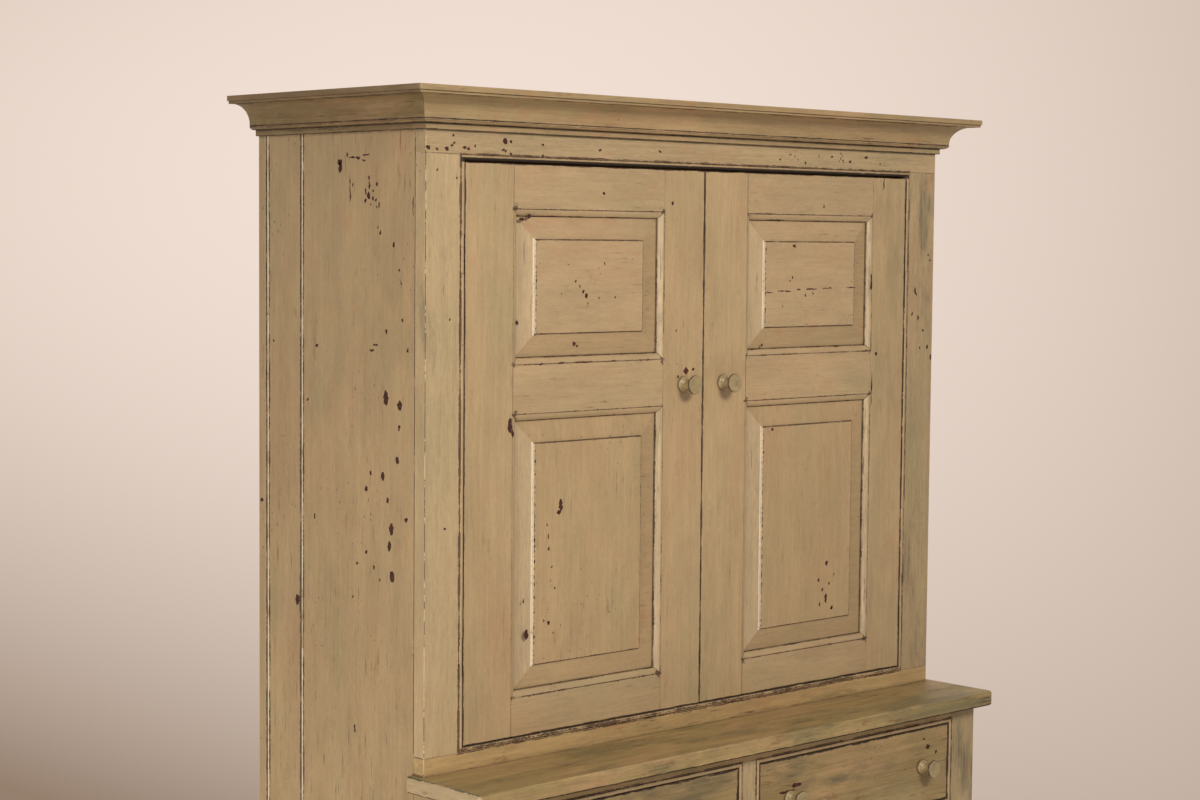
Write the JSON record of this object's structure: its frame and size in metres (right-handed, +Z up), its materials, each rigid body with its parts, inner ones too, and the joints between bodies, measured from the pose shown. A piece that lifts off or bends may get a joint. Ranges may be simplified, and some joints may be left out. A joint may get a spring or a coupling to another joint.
{
  "type": "step back cupboard",
  "caption": "Tall painted wooden cupboard in two stages: a deeper base with drawers and doors, and an upper cupboard set back on its shelf under a cove cornice.",
  "frame": {"origin": "on the floor, at the middle of the whole outline's width and depth", "axes": "+Z up, +Y to the back, +X to the right of someone facing the doors; doors face -Y"},
  "size_m": [1.344, 0.582, 1.913],
  "materials": {
    "front_paint": "aged brushed paint, satin, rubbed at the edges",
    "side_paint": "aged brushed paint over board joints",
    "shelf_paint": "worn paint with bare edges",
    "knob_paint": "painted turned wood, rubbed",
    "bare_wood": "unfinished aged pine",
    "peg_wood": "dark bare hardwood",
    "hinge_iron": "dull aged iron"
  },
  "bodies": {
    "carcase": {"side_left_main_board": "side_paint", "side_left_rear_board": "side_paint", "side_left_lower_board": "side_paint", "side_right_main_board": "side_paint", "side_right_rear_board": "side_paint", "side_right_lower_board": "side_paint", "back_planks": "bare_wood", "crown_front": "front_paint", "crown_left": "front_paint", "crown_right": "front_paint", "cap_board": "front_paint", "upper_stile_left": "front_paint", "upper_stile_right": "front_paint", "upper_top_rail": "front_paint", "upper_bottom_rail": "front_paint", "lower_stile_left": "front_paint", "lower_stile_right": "front_paint", "lower_top_rail": "front_paint", "drawer_rail": "front_paint", "drawer_mullion": "front_paint", "base_rail": "front_paint", "upper_opening_beads": "front_paint", "lower_opening_beads": "front_paint", "waist_shelf": "shelf_paint", "upper_floor": "bare_wood", "upper_shelves": "bare_wood", "lower_floor": "bare_wood", "lower_shelf": "bare_wood", "drawer_runners": "bare_wood", "door_and_drawer_stops": "bare_wood", "frame_hinges": "hinge_iron"},
    "upper_door_left": {"upper_door_left_hinge_stile": "front_paint", "upper_door_left_lock_stile": "front_paint", "upper_door_left_rails": "front_paint", "upper_door_left_panels": "front_paint", "upper_door_left_knob": "knob_paint", "upper_door_left_hinge_leaves": "hinge_iron", "diamond_peg": "peg_wood"},
    "lower_door_left": {"lower_door_left_frame": "front_paint", "lower_door_left_panel": "front_paint", "lower_door_left_knob": "knob_paint", "lower_door_left_hinge_leaves": "hinge_iron"},
    "drawer_left": {"drawer_left_front": "front_paint", "drawer_left_box": "bare_wood", "drawer_left_bottom": "bare_wood", "drawer_left_knobs": "knob_paint"},
    "upper_door_right": {"upper_door_right_hinge_stile": "front_paint", "upper_door_right_lock_stile": "front_paint", "upper_door_right_rails": "front_paint", "upper_door_right_panels": "front_paint", "upper_door_right_knob": "knob_paint", "upper_door_right_hinge_leaves": "hinge_iron"},
    "lower_door_right": {"lower_door_right_frame": "front_paint", "lower_door_right_panel": "front_paint", "lower_door_right_knob": "knob_paint", "lower_door_right_hinge_leaves": "hinge_iron"},
    "drawer_right": {"drawer_right_front": "front_paint", "drawer_right_box": "bare_wood", "drawer_right_bottom": "bare_wood", "drawer_right_knobs": "knob_paint"}
  },
  "joints": [
    {"name": "upper_door_left_hinge", "type": "hinge", "parent": "carcase", "child": "upper_door_left", "pos_m": [-0.537, -0.1395, 1.35], "axis": [0, 0, -1], "range_deg": [0, 110]},
    {"name": "upper_door_right_hinge", "type": "hinge", "parent": "carcase", "child": "upper_door_right", "pos_m": [0.531, -0.1395, 1.35], "axis": [0, 0, 1], "range_deg": [0, 110]},
    {"name": "lower_door_left_hinge", "type": "hinge", "parent": "carcase", "child": "lower_door_left", "pos_m": [-0.54, -0.2535, 0.368], "axis": [0, 0, -1], "range_deg": [0, 110]},
    {"name": "lower_door_right_hinge", "type": "hinge", "parent": "carcase", "child": "lower_door_right", "pos_m": [0.54, -0.2535, 0.368], "axis": [0, 0, 1], "range_deg": [0, 110]},
    {"name": "drawer_left_slide", "type": "slide", "parent": "carcase", "child": "drawer_left", "axis": [0, -1, 0], "range_m": [0, 0.3]},
    {"name": "drawer_right_slide", "type": "slide", "parent": "carcase", "child": "drawer_right", "axis": [0, -1, 0], "range_m": [0, 0.3]}
  ]
}
